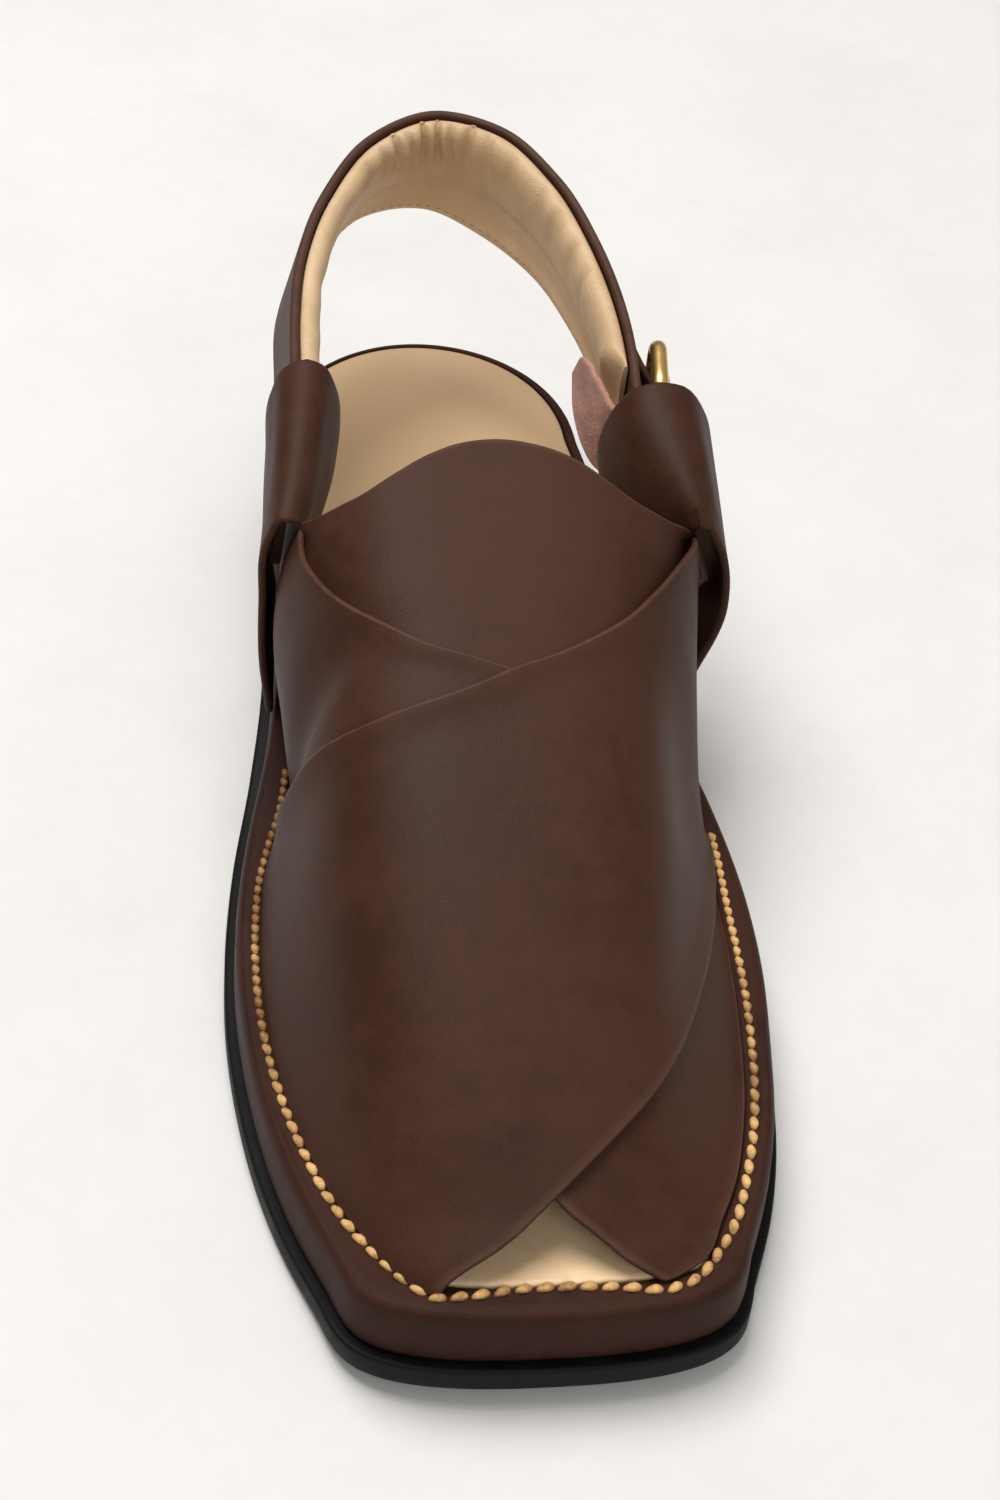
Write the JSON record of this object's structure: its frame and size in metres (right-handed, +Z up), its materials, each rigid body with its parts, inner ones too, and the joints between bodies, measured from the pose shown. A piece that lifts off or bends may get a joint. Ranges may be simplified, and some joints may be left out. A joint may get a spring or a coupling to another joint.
{
  "type": "peshawari chappal sandal",
  "caption": "Square-toed leather sandal with a wide crossed-band upper, open toe, padded heel strap with a small brass buckle, wrapped platform and low heel.",
  "frame": {"origin": "centre of the heel block's underside, on the floor", "axes": "+Z up, -Y towards the toe, +X towards the lateral side, where the buckle is"},
  "size_m": [0.1121, 0.2957, 0.0966],
  "materials": {
    "black_rubber": "matt black rubber",
    "brown_leather": "smooth satin dark brown leather",
    "beige_leather": "soft matt beige lining leather",
    "red_suede": "reddish brown flesh side of leather",
    "brass": "polished brass"
  },
  "bodies": {
    "root": {"outsole": "black_rubber", "heel_block": "black_rubber", "wrapped_platform": "brown_leather", "insole": "beige_leather", "upper": "brown_leather", "heel_strap": "brown_leather", "strap_lining": "beige_leather", "fastening_strap": "brown_leather", "chape": "brown_leather", "guard_tab": "red_suede", "buckle_frame": "brass", "buckle_prong": "brass", "rivet": "brass"}
  },
  "joints": []
}
